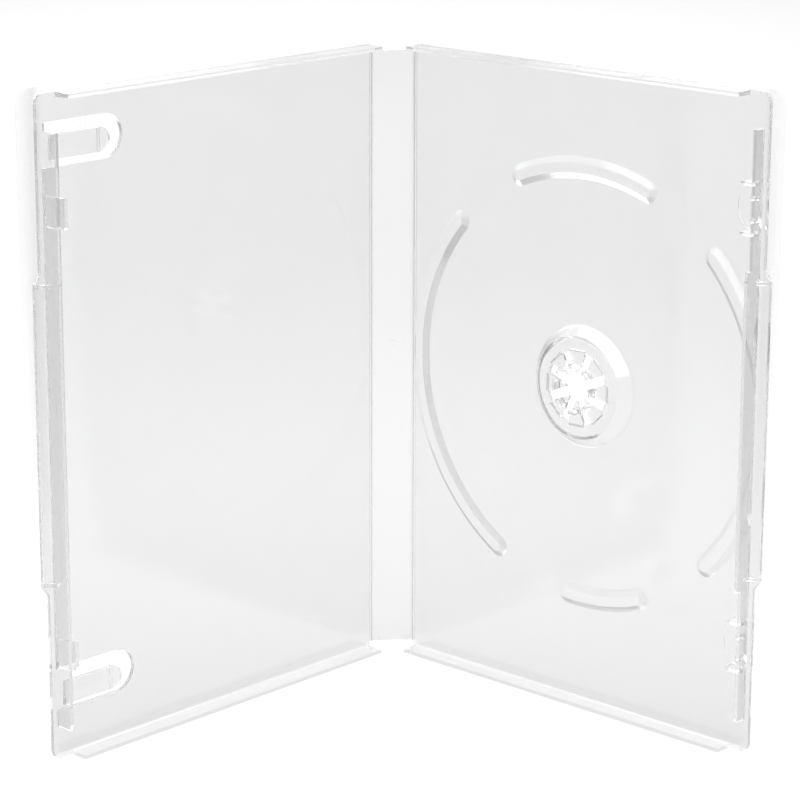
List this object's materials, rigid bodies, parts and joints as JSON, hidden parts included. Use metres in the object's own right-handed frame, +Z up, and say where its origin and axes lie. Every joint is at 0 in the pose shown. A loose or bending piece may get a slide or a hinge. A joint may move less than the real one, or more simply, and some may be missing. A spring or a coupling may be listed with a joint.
{
  "type": "dvd case",
  "caption": "Clear book-style disc case standing open: front cover with booklet clips, hinged spine, and back cover with a disc ring and a sprung petal hub, in a film sleeve.",
  "frame": {"origin": "middle of the standing case's box, on the surface it stands on", "axes": "+Z up along the spine, +X to the right seen from the open side, where the back cover is, +Y towards the spine"},
  "size_m": [0.2046, 0.097, 0.1908],
  "materials": {
    "clear_plastic": "clear polypropylene moulding, satin gloss",
    "clear_film": "clear glossy film"
  },
  "bodies": {
    "spine": {"spine": "clear_plastic", "sleeve_spine": "clear_film"},
    "front_cover": {"front_cover": "clear_plastic", "sleeve_front": "clear_film"},
    "back_cover": {"back_cover": "clear_plastic", "sleeve_back": "clear_film"},
    "hub_petal_1": {"hub_petal_1": "clear_plastic"},
    "hub_petal_2": {"hub_petal_2": "clear_plastic"},
    "hub_petal_3": {"hub_petal_3": "clear_plastic"},
    "hub_petal_4": {"hub_petal_4": "clear_plastic"},
    "hub_petal_5": {"hub_petal_5": "clear_plastic"},
    "hub_petal_6": {"hub_petal_6": "clear_plastic"},
    "hub_petal_7": {"hub_petal_7": "clear_plastic"},
    "hub_petal_8": {"hub_petal_8": "clear_plastic"}
  },
  "joints": [
    {"name": "front_hinge", "type": "hinge", "parent": "spine", "child": "front_cover", "pos_m": [-0.0064, 0.04794, 0.095], "axis": [0, 0, -1], "range_deg": [-45, 45]},
    {"name": "back_hinge", "type": "hinge", "parent": "spine", "child": "back_cover", "pos_m": [0.0064, 0.04794, 0.095], "axis": [0, 0, 1], "range_deg": [-45, 45]},
    {"name": "hub_petal_1_flex", "type": "hinge", "parent": "back_cover", "child": "hub_petal_1", "pos_m": [0.05986, -0.01061, 0.097], "axis": [0, 0, -1], "range_deg": [0, 8], "stiffness_Nm_per_rad": 0.3},
    {"name": "hub_petal_2_flex", "type": "hinge", "parent": "back_cover", "child": "hub_petal_2", "pos_m": [0.05758, -0.00833, 0.10478], "axis": [0.5, -0.5, -0.7071], "range_deg": [0, 8]},
    {"name": "hub_petal_3_flex", "type": "hinge", "parent": "back_cover", "child": "hub_petal_3", "pos_m": [0.05208, -0.00283, 0.108], "axis": [0.7071, -0.7071, 0], "range_deg": [0, 8]},
    {"name": "hub_petal_4_flex", "type": "hinge", "parent": "back_cover", "child": "hub_petal_4", "pos_m": [0.04658, 0.00267, 0.10478], "axis": [0.5, -0.5, 0.7071], "range_deg": [0, 8]},
    {"name": "hub_petal_5_flex", "type": "hinge", "parent": "back_cover", "child": "hub_petal_5", "pos_m": [0.0443, 0.00495, 0.097], "axis": [0, 0, 1], "range_deg": [0, 8]},
    {"name": "hub_petal_6_flex", "type": "hinge", "parent": "back_cover", "child": "hub_petal_6", "pos_m": [0.04658, 0.00267, 0.08922], "axis": [-0.5, 0.5, 0.7071], "range_deg": [0, 8]},
    {"name": "hub_petal_7_flex", "type": "hinge", "parent": "back_cover", "child": "hub_petal_7", "pos_m": [0.05208, -0.00283, 0.086], "axis": [-0.7071, 0.7071, 0], "range_deg": [0, 8]},
    {"name": "hub_petal_8_flex", "type": "hinge", "parent": "back_cover", "child": "hub_petal_8", "pos_m": [0.05758, -0.00833, 0.08922], "axis": [-0.5, 0.5, -0.7071], "range_deg": [0, 8]}
  ],
  "couplings": [
    {"joint": "hub_petal_2_flex", "follows": "hub_petal_1_flex", "ratio": 1},
    {"joint": "hub_petal_3_flex", "follows": "hub_petal_1_flex", "ratio": 1},
    {"joint": "hub_petal_4_flex", "follows": "hub_petal_1_flex", "ratio": 1},
    {"joint": "hub_petal_5_flex", "follows": "hub_petal_1_flex", "ratio": 1},
    {"joint": "hub_petal_6_flex", "follows": "hub_petal_1_flex", "ratio": 1},
    {"joint": "hub_petal_7_flex", "follows": "hub_petal_1_flex", "ratio": 1},
    {"joint": "hub_petal_8_flex", "follows": "hub_petal_1_flex", "ratio": 1}
  ]
}
